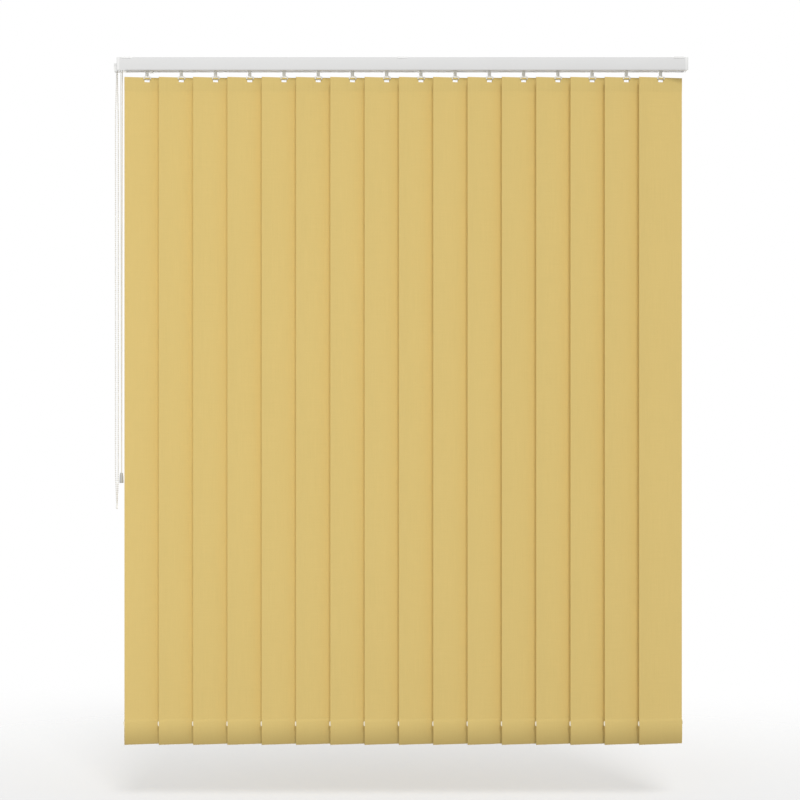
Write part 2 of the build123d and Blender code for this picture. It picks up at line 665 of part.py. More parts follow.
def draw_cord():
    """The cord from the weight, over both control pulleys and round the return pulley."""
    end_y = CORD_END_SPACING / 2
    straight = cord_weight_top + CORD_WEIGHT_HEIGHT
    half_loop = [
        (cord_x, -end_y, cord_weight_top),
        (cord_x, -end_y, straight),
        (cord_x, -cord_y, cord_z),
        (return_pulley_x + cord_y, -cord_y, cord_z),
    ]
    points = half_loop + [(x, -y, z) for x, y, z in reversed(half_loop)]
    knot = free_radius(*points[:3])
    turn = cord_y - SEAT_GAP / 2
    radii = [knot, CONTROL_PULLEY_RADIUS, turn, turn, CONTROL_PULLEY_RADIUS, knot]
    return tube(points, radii, cord_radius, "draw_cord")


def cord_weight():
    """A small faceted bell on the cord's two ends, its lower part straight."""
    slope_height = CORD_WEIGHT_HEIGHT - CORD_WEIGHT_SKIRT
    narrowing = (CORD_WEIGHT_RADIUS - CORD_WEIGHT_NECK_RADIUS) * math.cos(math.pi / CORD_WEIGHT_FLATS)
    slope = math.degrees(math.atan(narrowing / slope_height))
    outline = RegularPolygon(CORD_WEIGHT_RADIUS, CORD_WEIGHT_FLATS)
    bell = extrude(outline, amount=CORD_WEIGHT_SKIRT)
    bell += extrude(Pos(0, 0, CORD_WEIGHT_SKIRT) * outline, amount=slope_height, taper=slope)
    return Pos(cord_x, 0, cord_weight_top - CORD_WEIGHT_HEIGHT) * bell


def control_chain():
    """The chain's strands and their turn over the wheel, with the joiner at the bottom."""
    joiner_top = rod_z - CHAIN_DROP
    end = CHAIN_END_SPACING / 2
    front = [
        (chain_x, ROD_Y - end, joiner_top),
        (chain_x - CHAIN_TWIST, ROD_Y - CHAIN_PITCH_RADIUS, joiner_top + CHAIN_GATHER),
        (chain_x - CHAIN_TWIST, ROD_Y - CHAIN_PITCH_RADIUS, rod_z - CHAIN_TWIST_END),
        (chain_x, ROD_Y - CHAIN_PITCH_RADIUS, rod_z - CHAIN_TWIST_START),
        (chain_x, ROD_Y - CHAIN_PITCH_RADIUS, rod_z + CHAIN_PITCH_RADIUS),
    ]
    back = [(2 * chain_x - x, 2 * ROD_Y - y, z) for x, y, z in reversed(front)]
    points = front + back
    hanging = [free_radius(*front[i - 1 : i + 2]) for i in (1, 2, 3)]
    turn = CHAIN_PITCH_RADIUS - SEAT_GAP / 2
    radii = hanging + [turn, turn] + hanging[::-1]
    chain = tube(points, radii, CHAIN_DIAMETER / 2, "control_chain")
    joiner = block(
        chain_x - JOINER_WIDTH / 2,
        chain_x + JOINER_WIDTH / 2,
        ROD_Y - JOINER_DEPTH / 2,
        ROD_Y + JOINER_DEPTH / 2,
        joiner_top - JOINER_HEIGHT,
        joiner_top - RUNNING_GAP,
    )
    return chain, joiner


os.makedirs("parts", exist_ok=True)
save(headrail(), "headrail")
save(control_end_cap(), "control_end_cap")
save(far_end_cap(), "far_end_cap")
save(brackets(), "mounting_brackets")
save(tilt_rod(), "tilt_rod")
save(chain_wheel(), "chain_wheel")
save(control_pulley(-1), "control_pulley_front")
save(control_pulley(1), "control_pulley_back")
save(return_pulley(), "return_pulley")
save(draw_cord(), "draw_cord")
save(cord_weight(), "cord_weight")
save(Compound(children=list(control_chain())), "control_chain")
for vane_number in range(1, VANE_COUNT + 1):
    save(carrier(vane_number), f"carrier_{vane_number:02d}")
    save(at_vane(vane_number, [hook(), hanger()]), f"hook_{vane_number:02d}")
    save(at_vane(vane_number, [vane_fabric(), bottom_weight()]), f"vane_{vane_number:02d}")
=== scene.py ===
import math

import bmesh
import bpy
from mathutils import Matrix, Vector


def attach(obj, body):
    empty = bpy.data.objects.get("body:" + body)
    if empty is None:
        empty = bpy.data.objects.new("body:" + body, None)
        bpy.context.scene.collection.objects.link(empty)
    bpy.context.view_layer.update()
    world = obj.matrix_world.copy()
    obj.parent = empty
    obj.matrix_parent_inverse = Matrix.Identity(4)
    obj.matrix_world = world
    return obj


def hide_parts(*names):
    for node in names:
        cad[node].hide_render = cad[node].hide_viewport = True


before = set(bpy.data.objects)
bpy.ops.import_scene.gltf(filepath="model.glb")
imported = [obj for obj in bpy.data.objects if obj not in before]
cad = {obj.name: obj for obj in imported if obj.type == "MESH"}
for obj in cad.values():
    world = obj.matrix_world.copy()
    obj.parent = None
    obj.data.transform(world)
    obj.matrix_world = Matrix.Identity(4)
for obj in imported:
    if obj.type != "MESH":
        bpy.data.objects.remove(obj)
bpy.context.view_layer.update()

# ---------------------------------------------------------------------------------------------
# Camera: level and square to the rail, five metres off and a hand's breadth above the blind's
# middle, with a long lens.
front_camera = bpy.data.objects.new("front_camera", bpy.data.cameras.new("front_camera"))
front_camera.location = (-0.0047, -5.0, -0.631)
front_camera.rotation_euler = (math.radians(90), 0, 0)
front_camera.data.lens = 114.9
front_camera.data.shift_y = -0.025
bpy.context.collection.objects.link(front_camera)
bpy.context.scene.camera = front_camera


# ---------------------------------------------------------------------------------------------
# Draw cord: 1.8 mm braided polyester in one length. It rises from the weight, turns over the front
# pulley, runs along the rail, goes round the far pulley and comes back down to the weight.
class Value:
    """A shader socket that adds its Math node when it is used in an expression."""

    def __init__(self, finish, socket):
        self.finish = finish
        self.socket = socket

    def maths(self, operation, first, second):
        return self.finish.node("ShaderNodeMath", {"operation": operation}, {0: first, 1: second})

    def __add__(self, other):
        return self.maths("ADD", self, other)

    def __radd__(self, other):
        return self.maths("ADD", other, self)

    def __sub__(self, other):
        return self.maths("SUBTRACT", self, other)

    def __rsub__(self, other):
        return self.maths("SUBTRACT", other, self)

    def __mul__(self, other):
        return self.maths("MULTIPLY", self, other)

    def __rmul__(self, other):
        return self.maths("MULTIPLY", other, self)

    def sine(self):
        return self.maths("SINE", self, 0.0)

    def size(self):
        return self.maths("ABSOLUTE", self, 0.0)


class Finish:
    """A material under construction: a Principled surface and the nodes that vary it."""

    def __init__(self, name, colour, roughness, **constants):
        self.material = bpy.data.materials.new(name)
        self.material.use_nodes = True
        self.tree = self.material.node_tree
        self.surface = self.tree.nodes["Principled BSDF"]
        self.output = self.tree.nodes["Material Output"]
        self.set(self.surface, {"Base Color": (*colour, 1), "Roughness": roughness})
        self.set(self.surface, {name.replace("_", " "): value for name, value in constants.items()})

    def set(self, node, inputs):
        for name, value in inputs.items():
            if isinstance(value, Value):
                self.tree.links.new(value.socket, node.inputs[name])
            else:
                node.inputs[name].default_value = value

    def node(self, kind, settings=None, inputs=None, output=0):
        """Adds one node: its settings first, then its sockets' values or links."""
        made = self.tree.nodes.new(kind)
        for name, value in (settings or {}).items():
            if name == "stops":
                for stop, (place, colour) in zip(made.color_ramp.elements, value):
                    stop.position = place
                    stop.color = (*colour, 1)
            else:
                setattr(made, name, value)
        self.set(made, inputs or {})
        return Value(self, made.outputs[output])

    def noise(self, place, scale, detail=2.0):
        inputs = {"Vector": place, "Scale": scale, "Detail": detail}
        return self.node("ShaderNodeTexNoise", None, inputs)

    def place(self, scale=(1, 1, 1)):
        """The point on the piece, in metres, stretched along its axes."""
        point = self.node("ShaderNodeTexCoord", None, None, "Object")
        return self.node("ShaderNodeMapping", None, {"Vector": point, "Scale": scale})

    def mix(self, share, first, second):
        inputs = {"Factor": share, "A": first, "B": second}
        mixed = self.tree.nodes.new("ShaderNodeMix")
        mixed.data_type = "RGBA"
        for name, value in inputs.items():
            sockets = [s for s in mixed.inputs if s.name == name and s.enabled]
            if isinstance(value, Value):
                self.tree.links.new(value.socket, sockets[0])
            else:
                sockets[0].default_value = value if name == "Factor" else (*value, 1)
        return Value(self, [s for s in mixed.outputs if s.enabled][0])

    def bump(self, height, distance, strength=1.0):
        inputs = {"Height": height, "Distance": distance, "Strength": strength}
        self.set(self.surface, {"Normal": self.node("ShaderNodeBump", None, inputs)})


def soft_line(name, route, radius):
    """A smooth NURBS line of one open spline through given points, with a round section."""
    curve = bpy.data.curves.new(name, "CURVE")
    curve.dimensions = "3D"
    curve.resolution_u = 10
    curve.bevel_depth = radius
    curve.bevel_resolution = 2
    spline = curve.splines.new("NURBS")
    spline.points.add(len(route) - 1)
    for point, place in zip(spline.points, route):
        point.co = (*place, 1)
    spline.order_u = 3
    spline.use_endpoint_u = True
    line = bpy.data.objects.new(name, curve)
    bpy.context.collection.objects.link(line)
    return line


rail_end = -0.552
cord_x = rail_end + 0.002
cord_y = 0.0139
cord_z = -0.012556
weight_top = cord_z - 0.8
far_turn_x = 0.5345 + cord_y
near_pulley = 0.011
cord_front = [
    (cord_x, -0.0016, weight_top),
    (cord_x, -0.0016, weight_top + 0.02),
    (cord_x, -0.0018, weight_top + 0.045),
    (cord_x, -cord_y + 0.0002, cord_z - near_pulley),
    (cord_x, -cord_y, cord_z),
    (cord_x + near_pulley, -cord_y, cord_z),
    (far_turn_x - 2 * cord_y, -cord_y, cord_z),
    (far_turn_x, -cord_y, cord_z),
]
cord_route = cord_front + [(x, -y, z) for x, y, z in reversed(cord_front)]
draw_cord = soft_line("draw_cord_braid", cord_route, 0.0009)

braid = Finish("braided_cord", (0.80, 0.78, 0.71), 0.75, Sheen_Weight=0.2)
turn = braid.place((1, 1, 1))
strands = braid.node(
    "ShaderNodeTexWave",
    {"wave_type": "BANDS", "bands_direction": "DIAGONAL"},
    {"Vector": turn, "Scale": 420.0, "Distortion": 2.0, "Detail": 1.0},
)
braid.set(braid.surface, {"Base Color": braid.mix(strands, (0.72, 0.70, 0.62), (0.86, 0.84, 0.78))})
braid.bump(strands, 0.00015)
draw_cord.data.materials.append(braid.material)

# Its weight: a small turned bell of grey plastic, closed by a plug at the bottom, with a bead of
# the knot showing in its neck.
def turned(name, profile, axis_place, steps=48):
    """A closed solid of revolution about a vertical axis, from (radius, z) points."""
    mesh = bmesh.new()
    rings = []
    for radius, z in profile:
        ring = []
        for step in range(steps):
            angle = 2 * math.pi * step / steps
            place = (axis_place[0] + radius * math.cos(angle), axis_place[1] + radius * math.sin(angle), z)
            ring.append(mesh.verts.new(place))
        rings.append(ring)
    for lower, upper in zip(rings, rings[1:]):
        for step in range(steps):
            after = (step + 1) % steps
            mesh.faces.new((lower[step], lower[after], upper[after], upper[step]))
    mesh.faces.new(rings[0][::-1])
    mesh.faces.new(rings[-1])
    return finished(name, mesh)


def finished(name, mesh, smooth=30):
    """A plain object from built geometry, normals outwards and shaded smooth below an angle."""
    bmesh.ops.recalc_face_normals(mesh, faces=mesh.faces)
    data = bpy.data.meshes.new(name)
    mesh.to_mesh(data)
    mesh.free()
    data.shade_smooth()
    data.set_sharp_from_angle(angle=math.radians(smooth))
    piece = bpy.data.objects.new(name, data)
    bpy.context.collection.objects.link(piece)
    return piece


bell_height = 0.020
bell_bottom = weight_top - bell_height
bell_profile = [
    (0.0012, bell_bottom + 0.0012),
    (0.0030, bell_bottom + 0.0010),
    (0.0032, bell_bottom),
    (0.0037, bell_bottom + 0.0001),
    (0.0040, bell_bottom + 0.0007),
    (0.0040, bell_bottom + 0.0048),
    (0.0039, bell_bottom + 0.0056),
    (0.0035, weight_top - 0.0062),
    (0.0030, weight_top - 0.0022),
    (0.0027, weight_top - 0.0007),
    (0.0023, weight_top - 0.0001),
    (0.0019, weight_top),
]
cord_bell = turned("cord_weight_bell", bell_profile, (cord_x, 0))
bell_plastic = Finish("bell_plastic", (0.42, 0.42, 0.40), 0.42, Specular_IOR_Level=0.5)
speckle = bell_plastic.noise(bell_plastic.place(), 900.0)
bell_plastic.set(bell_plastic.surface, {"Roughness": 0.34 + 0.16 * speckle})
bell_plastic.bump(speckle, 0.00004)
cord_bell.data.materials.append(bell_plastic.material)
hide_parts("cord_weight")
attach(cord_bell, "headrail_assembly")

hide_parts("draw_cord")
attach(draw_cord, "headrail_assembly")

# ---------------------------------------------------------------------------------------------
# Control chain: 3 mm plastic beads moulded on a thread at 4 mm pitch, in a loop over the wheel,
# closed by a small clip at the bottom.
rod_y = 0.008
rod_z = -0.01965
chain_x = -0.5599
chain_reach = 0.0055
chain_swing = 0.0021
joiner_top = rod_z - 0.856
chain_front = [
    (chain_x, rod_y - 0.0017, joiner_top),
    (chain_x - chain_swing, rod_y - chain_reach, joiner_top + 0.05),
    (chain_x - chain_swing, rod_y - chain_reach, joiner_top + 0.10),
    (chain_x - chain_swing, rod_y - chain_reach, rod_z - 0.145),
    (chain_x - chain_swing, rod_y - chain_reach, rod_z - 0.085),
    (chain_x, rod_y - chain_reach, rod_z - 0.025),
    (chain_x, rod_y - chain_reach, rod_z - 0.008),
    (chain_x, rod_y - chain_reach, rod_z + chain_reach),
]
chain_route = chain_front + [(2 * chain_x - x, 2 * rod_y - y, z) for x, y, z in reversed(chain_front)]
chain_line = soft_line("chain_line", chain_route, 0.0)


def evaluated(piece):
    """The piece's shape with its curves and modifiers worked out, as a plain mesh."""
    bpy.context.view_layer.update()
    return bpy.data.meshes.new_from_object(piece.evaluated_get(bpy.context.evaluated_depsgraph_get()))


chain_thread = evaluated(chain_line)
chain = bpy.data.objects.new("control_chain_beads", chain_thread)
bpy.context.collection.objects.link(chain)
bpy.data.objects.remove(chain_line)

chain_plastic = Finish("chain_plastic", (0.78, 0.77, 0.73), 0.38, Coat_Weight=0.15)
chain_dust = chain_plastic.noise(chain_plastic.place(), 350.0)
chain_tint = chain_plastic.mix(chain_dust, (0.70, 0.69, 0.64), (0.84, 0.83, 0.80))
chain_plastic.set(chain_plastic.surface, {"Base Color": chain_tint})
chain_plastic.bump(chain_dust, 0.00003)


class Growth:
    """A Geometry Nodes tree under construction, with named inputs for its sizes."""

    def __init__(self, name, sizes):
        self.tree = bpy.data.node_groups.new(name, "GeometryNodeTree")
        face = self.tree.interface
        face.new_socket("Geometry", in_out="INPUT", socket_type="NodeSocketGeometry")
        for size in sizes:
            face.new_socket(size, in_out="INPUT", socket_type="NodeSocketFloat")
        face.new_socket("Geometry", in_out="OUTPUT", socket_type="NodeSocketGeometry")
        self.sizes = sizes
        self.inputs = self.tree.nodes.new("NodeGroupInput").outputs

    def node(self, kind, settings=None, inputs=None, output=0):
        made = self.tree.nodes.new(kind)
        for name, value in (settings or {}).items():
            setattr(made, name, value)
        for name, value in (inputs or {}).items():
            if isinstance(value, bpy.types.NodeSocket):
                self.tree.links.new(value, made.inputs[name])
            else:
                made.inputs[name].default_value = value
        return made.outputs[output]

    def join(self, *parts):
        joined = self.tree.nodes.new("GeometryNodeJoinGeometry")
        for part in parts:
            self.tree.links.new(part, joined.inputs[0])
        return joined.outputs[0]

    def grow(self, piece, result, material):
        """Ends the tree, runs it on the piece and leaves the piece as a plain mesh."""
        real = self.node("GeometryNodeRealizeInstances", None, {"Geometry": result})
        dressed = self.node("GeometryNodeSetMaterial", None, {"Geometry": real, "Material": material})
        end = self.tree.nodes.new("NodeGroupOutput")
        self.tree.links.new(dressed, end.inputs[0])
        modifier = piece.modifiers.new(self.tree.name, "NODES")
        modifier.node_group = self.tree
        sockets = {s.name: s.identifier for s in self.tree.interface.items_tree if s.in_out == "INPUT"}
        for name, value in self.sizes.items():
            modifier[sockets[name]] = value
        grown = evaluated(piece)
        piece.modifiers.remove(modifier)
        piece.data = grown


beads = Growth("bead_stringing", {"Pitch": 0.004, "Bead radius": 0.0015, "Thread radius": 0.0005})
thread = beads.node("GeometryNodeMeshToCurve", None, {"Mesh": beads.inputs["Geometry"]})
spaced = beads.node(
    "GeometryNodeResampleCurve", {"mode": "LENGTH"}, {"Curve": thread, "Length": beads.inputs["Pitch"]}
)
bead = beads.node(
    "GeometryNodeMeshUVSphere", None, {"Segments": 8, "Rings": 6, "Radius": beads.inputs["Bead radius"]}
)
bead = beads.node("GeometryNodeSetShadeSmooth", None, {"Geometry": bead, "Shade Smooth": True})
strung = beads.node("GeometryNodeInstanceOnPoints", None, {"Points": spaced, "Instance": bead})
core = beads.node(
    "GeometryNodeCurvePrimitiveCircle", None, {"Resolution": 6, "Radius": beads.inputs["Thread radius"]}
)
string = beads.node(
    "GeometryNodeCurveToMesh", None, {"Curve": spaced, "Profile Curve": core, "Fill Caps": True}
)
beads.grow(chain, beads.join(strung, string), chain_plastic.material)


def rounded_block(name, low, high, edge, segments=2):
    """A block between two corners with rounded edges."""
    mesh = bmesh.new()
    size = Vector(high) - Vector(low)
    middle = (Vector(high) + Vector(low)) / 2
    bmesh.ops.create_cube(mesh, size=1, matrix=Matrix.Translation(middle) @ Matrix.Diagonal((*size, 1)))
    bmesh.ops.bevel(mesh, geom=mesh.edges[:], offset=edge, segments=segments, affect="EDGES", profile=0.5)
    return finished(name, mesh, 50)


joiner_half = (0.0017, 0.0035)
chain_joiner = rounded_block(
    "chain_joiner",
    (chain_x - joiner_half[0], rod_y - joiner_half[1], joiner_top - 0.008),
    (chain_x + joiner_half[0], rod_y + joiner_half[1], joiner_top - 0.0002),
    0.0011,
    4,
)
chain_joiner.data.materials.append(chain_plastic.material)
for piece in (chain, chain_joiner):
    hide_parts("control_chain")
    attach(piece, "headrail_assembly")

# ---------------------------------------------------------------------------------------------
# Headrail: one aluminium extrusion with a white powder coat. Its front swells a little, the top
# has the clip channel, and the hooks come down through the slot underneath.
rail_top = -0.0012
rail_bottom = -0.0268
rail_half = 0.020
rail_wall = 0.0012
front_bow = 0.0008
hook_y = -0.00215


def front_at(z):
    """Where the swelling front face lies at a height."""
    share = (2 * z - rail_top - rail_bottom) / (rail_top - rail_bottom)
    return -rail_half + front_bow * share * share


def rounded_corner(centre, radius, start, end, steps=5):
    """Points on an arc of a (y, z) outline, between two angles in degrees."""
    angles = [math.radians(start + (end - start) * step / steps) for step in range(steps + 1)]
    return [(centre[0] + radius * math.cos(a), centre[1] + radius * math.sin(a)) for a in angles]


def rail_section(with_floor):
    """The rail's outline as (y, z) points, one closed loop because both slots open it."""
    front_inside = -0.018
    back_inside = 0.0188
    ledge_edge = 0.0154
    ledge_top = -0.012756
    ledge_under = ledge_top - rail_wall
    lip_edge = 0.015
    lip_under = rail_top - rail_wall
    channel_floor = -0.0046
    inside_top = -0.0058
    floor_top = rail_bottom + rail_wall
    tray_edge = 0.0177
    slot_front = hook_y - 0.004
    slot_back = hook_y + 0.004
    corner = 0.0014
    break_edge = 0.0002
    front_low = rail_bottom + corner
    front_high = rail_top - 0.0006
    heights = [front_low + (front_high - front_low) * step / 12 for step in range(13)]
    loop = [(-lip_edge, lip_under), (-lip_edge, rail_top - 0.0003), (-lip_edge - 0.0003, rail_top)]
    loop += [(-rail_half + 0.0016, rail_top)] + [(front_at(z), z) for z in reversed(heights)]
    if with_floor:
        loop += rounded_corner((-rail_half + front_bow + corner, rail_bottom + corner), corner, 195, 270)
        loop += [(slot_front - break_edge, rail_bottom), (slot_front, rail_bottom + break_edge)]
        loop += [(slot_front, floor_top)]
    else:
        loop += [(-rail_half + front_bow, rail_bottom), (-tray_edge, rail_bottom), (-tray_edge, floor_top)]
    loop += [(front_inside, floor_top), (front_inside, ledge_under), (-ledge_edge, ledge_under)]
    loop += [(-ledge_edge, ledge_top), (front_inside, ledge_top), (front_inside, inside_top)]
    loop += [(back_inside, inside_top), (back_inside, ledge_top), (ledge_edge, ledge_top)]
    loop += [(ledge_edge, ledge_under), (back_inside, ledge_under), (back_inside, floor_top)]
    if with_floor:
        loop += [(slot_back, floor_top), (slot_back, rail_bottom + break_edge)]
        loop += [(slot_back + break_edge, rail_bottom)]
        loop += rounded_corner((rail_half - corner, rail_bottom + corner), corner, 270, 360)
    else:
        loop += [(tray_edge, floor_top), (tray_edge, rail_bottom), (rail_half, rail_bottom)]
    loop += [(rail_half, rail_top - 0.0004), (rail_half - 0.0004, rail_top), (lip_edge + 0.0003, rail_top)]
    loop += [(lip_edge, rail_top - 0.0003), (lip_edge, lip_under), (back_inside, lip_under)]
    loop += [(back_inside, channel_floor), (front_inside, channel_floor), (front_inside, lip_under)]
    return loop


def extruded(mesh, loop, x0, x1):
    """A bar along X between two ends, from a closed (y, z) outline."""
    near = [mesh.verts.new((x0, y, z)) for y, z in loop]
    far = [mesh.verts.new((x1, y, z)) for y, z in loop]
    for step in range(len(loop)):
        after = (step + 1) % len(loop)
        mesh.faces.new((near[step], near[after], far[after], far[step]))
    mesh.faces.new(near[::-1])
    mesh.faces.new(far)


# The first 12 mm has no floor, to make room for the control cap's tray.
tray_end = rail_end + 0.012
rail_mesh = bmesh.new()
extruded(rail_mesh, rail_section(False), rail_end, tray_end)
extruded(rail_mesh, rail_section(True), tray_end, -rail_end)
headrail = finished("headrail_extrusion", rail_mesh, 25)

powder_coat = Finish("white_powder_coat", (0.67, 0.67, 0.665), 0.5, Specular_IOR_Level=0.35)
coat_grain = powder_coat.noise(powder_coat.place(), 1400.0, 3.0)
coat_patches = powder_coat.noise(powder_coat.place((1, 4, 4)), 9.0)
coat_colour = powder_coat.mix(coat_patches, (0.65, 0.65, 0.645), (0.69, 0.69, 0.685))
powder_coat.set(powder_coat.surface, {"Base Color": coat_colour, "Roughness": 0.44 + 0.16 * coat_grain})
powder_coat.bump(coat_grain, 0.00003, 0.6)
headrail.data.materials.append(powder_coat.material)
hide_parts("headrail")
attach(headrail, "headrail_assembly")

# Brackets: three clips pressed from sprung steel strip and painted white, hooked over the rail's
# front and back edges, each screwed up through one hole.
bracket_paint = Finish("bracket_paint", (0.80, 0.80, 0.79), 0.30, Coat_Weight=0.25)
paint_wave = bracket_paint.noise(bracket_paint.place(), 260.0)
bracket_paint.set(bracket_paint.surface, {"Roughness": 0.24 + 0.16 * paint_wave})
bracket_paint.bump(paint_wave, 0.00005)


def coat(node, finish):
    """Gives a CAD node its finish."""
    cad[node].data.materials.clear()
    cad[node].data.materials.append(finish.material)


coat("mounting_brackets", bracket_paint)

# ---------------------------------------------------------------------------------------------
# End caps: white acetal mouldings pressed into the rail's ends. The left one also holds the wheel's
# guard and the tray that leads the cord out.
cap_plastic = Finish("cap_plastic", (0.74, 0.74, 0.73), 0.36, Specular_IOR_Level=0.5)
cap_grain = cap_plastic.noise(cap_plastic.place(), 700.0, 3.0)
cap_plastic.set(cap_plastic.surface, {"Roughness": 0.30 + 0.16 * cap_grain})
cap_plastic.bump(cap_grain, 0.00004, 0.7)
coat("control_end_cap", cap_plastic)
coat("far_end_cap", cap_plastic)

# Pulleys and chain wheel: low-friction acetal, a little whiter and waxier than the caps.
wheel_plastic = Finish("wheel_plastic", (0.84, 0.84, 0.82), 0.30)
wheel_rings = wheel_plastic.noise(wheel_plastic.place(), 500.0)
wheel_plastic.set(wheel_plastic.surface, {"Roughness": 0.24 + 0.14 * wheel_rings})
wheel_plastic.bump(wheel_rings, 0.00003)
for node in ("chain_wheel", "control_pulley_front", "control_pulley_back", "return_pulley"):
    coat(node, wheel_plastic)

# Tilt rod: plain drawn aluminium with three keyways, its draw marks along its length.
rod_metal = Finish("drawn_aluminium", (0.68, 0.68, 0.69), 0.34, Metallic=1.0)
draw_marks = rod_metal.noise(rod_metal.place((3, 900, 900)), 1.0)
rod_metal.set(rod_metal.surface, {"Roughness": 0.26 + 0.2 * draw_marks})
rod_metal.bump(draw_marks, 0.00002)
coat("tilt_rod", rod_metal)

# ---------------------------------------------------------------------------------------------
# Carriers: one off-white moulding each, which slides on the rail's ledges and holds the worm, with
# a strip of clear polyester as its spacer.
carrier_plastic = Finish("carrier_plastic", (0.74, 0.73, 0.68), 0.44)
carrier_grain = carrier_plastic.noise(carrier_plastic.place(), 600.0)
carrier_plastic.set(carrier_plastic.surface, {"Roughness": 0.36 + 0.18 * carrier_grain})
carrier_plastic.bump(carrier_grain, 0.00004)
vane_numbers = range(1, 17)
for number in vane_numbers:
    coat(f"carrier_{number:02d}", carrier_plastic)

# ---------------------------------------------------------------------------------------------
# Hooks and hangers: the turning hook is a milky moulding with its worm wheel on top, and the hanger
# is a flat plate in the vane's top pocket. Their edges are softly rounded by the mould. The thick
# prong that goes through the cloth is painted darker than the thin arms above it, as painted shade
# that stands in for the shade in the slot beneath the hook.
prong_top = -0.0425
prong_blend = 0.0006
hook_plastic = Finish("hook_plastic", (0.80, 0.785, 0.72), 0.30, Transmission_Weight=0.1, IOR=1.3)
hook_haze = hook_plastic.noise(hook_plastic.place(), 420.0)
hook_height = hook_plastic.node("ShaderNodeSeparateXYZ", None, {0: hook_plastic.place()}, "Z")
# Painted shade: the hook's colour turns dark below prong_top, standing in for the shade in the slot
# beneath the hook.
prong_painted_shade = hook_plastic.node(
    "ShaderNodeMapRange",
    {"interpolation_type": "SMOOTHSTEP"},
    {
        "Value": hook_height,
        "From Min": prong_top - prong_blend,
        "From Max": prong_top + prong_blend,
        "To Min": 1.0,
        "To Max": 0.0,
    },
)
hook_tone_with_painted_shade = hook_plastic.mix(prong_painted_shade, (0.80, 0.785, 0.72), (0.40, 0.37, 0.27))
hook_plastic.set(hook_plastic.surface, {"Base Color": hook_tone_with_painted_shade, "Roughness": 0.24 + 0.16 * hook_haze})
hook_plastic.bump(hook_haze, 0.00004)


def softened(node, name, rounding):
    """A copy of a CAD node with its flat faces whole and its edges rounded."""
    mesh = bmesh.new()
    mesh.from_mesh(cad[node].data)
    bmesh.ops.remove_doubles(mesh, verts=mesh.verts, dist=1e-6)
    bmesh.ops.dissolve_limit(mesh, angle_limit=math.radians(1), verts=mesh.verts, edges=mesh.edges)
    sharp = [edge for edge in mesh.edges if edge.calc_face_angle(0) > math.radians(35)]
    bmesh.ops.bevel(
        mesh, geom=sharp, offset=rounding, segments=2, affect="EDGES", profile=0.5, clamp_overlap=True
    )
    return finished(name, mesh, 40)


for number in vane_numbers:
    hook = softened(f"hook_{number:02d}", f"hook_moulding_{number:02d}", 0.00018)
    hook.data.materials.append(hook_plastic.material)
    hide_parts(f"hook_{number:02d}")
    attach(hook, f"hung_vane_{number:02d}")

# ---------------------------------------------------------------------------------------------
# Vanes: each is one strip of plain-woven yellow polyester, 89 mm wide, folded over the hanger at
# the top and round the weight at the bottom, with both folds welded across.
vane_half = 0.0445
vane_top = -0.0390
vane_bottom = -1.3440
vane_pitch = 0.067
first_vane = -0.4998
closed_angle = math.radians(15)
cloth = 0.0004
top_pocket = 0.027
hem = 0.050
slot_half = 0.0051
slot_top = vane_top - 0.0035
slot_bottom = vane_top - 0.0092
pocket_bottom = vane_top - top_pocket
fold_half = 0.00085

# The strip's run as (y, z) points: up the back of the top pocket, over the fold, down the front,
# down the single sheet and round the hem. Its last row meets the sheet again at the hem's seam.
fold_profile = [
    (0.00030, pocket_bottom),
    (0.00032, pocket_bottom + 0.0012),
    (0.00050, pocket_bottom + 0.0035),
    (fold_half, vane_top - 0.0150),
    (fold_half, slot_bottom),
    (fold_half, slot_top),
    (fold_half, vane_top - 0.0010),
    (0.00070, vane_top - 0.0004),
    (0.00040, vane_top - 0.0002),
    (-0.00040, vane_top - 0.0002),
    (-0.00070, vane_top - 0.0004),
    (-fold_half, vane_top - 0.0010),
    (-fold_half, slot_top),
    (-fold_half, slot_bottom),
    (-fold_half, vane_top - 0.0150),
    (-0.00050, pocket_bottom + 0.0035),
    (-0.00032, pocket_bottom + 0.0012),
    (-0.00020, pocket_bottom),
    (-0.00016, pocket_bottom - 0.0012),
    (0.0, pocket_bottom - 0.0100),
]
straight_rows = 24
straight_top = fold_profile[-1][1]
straight_bottom = vane_bottom + hem + 0.0080
fold_profile += [
    (0.0, straight_top + (straight_bottom - straight_top) * row / straight_rows)
    for row in range(1, straight_rows + 1)
]
hem_side = [
    (0.00024, hem + 0.0012),
    (0.00026, hem),
    (0.00050, hem - 0.0010),
    (0.00115, hem - 0.0030),
    (0.00150, hem - 0.0060),
    (0.00174, hem - 0.0110),
    (0.00187, hem - 0.0170),
    (0.00190, hem - 0.0240),
    (0.00185, 0.0200),
    (0.00172, 0.0140),
    (0.00153, 0.0095),
    (0.00130, 0.0062),
    (0.00106, 0.0038),
    (0.00080, 0.0019),
    (0.00048, 0.0006),
]
fold_profile += [(-y, vane_bottom + rise) for y, rise in hem_side]
fold_profile += [(y, vane_bottom + rise) for y, rise in reversed(hem_side)]
cut_length = sum(math.dist(a, b) for a, b in zip(fold_profile, fold_profile[1:]))
hem_back = sum(math.dist(a, b) for a, b in zip(hem_side, hem_side[1:]))
bottom_fold = cut_length - hem_back - hem_side[-1][0]

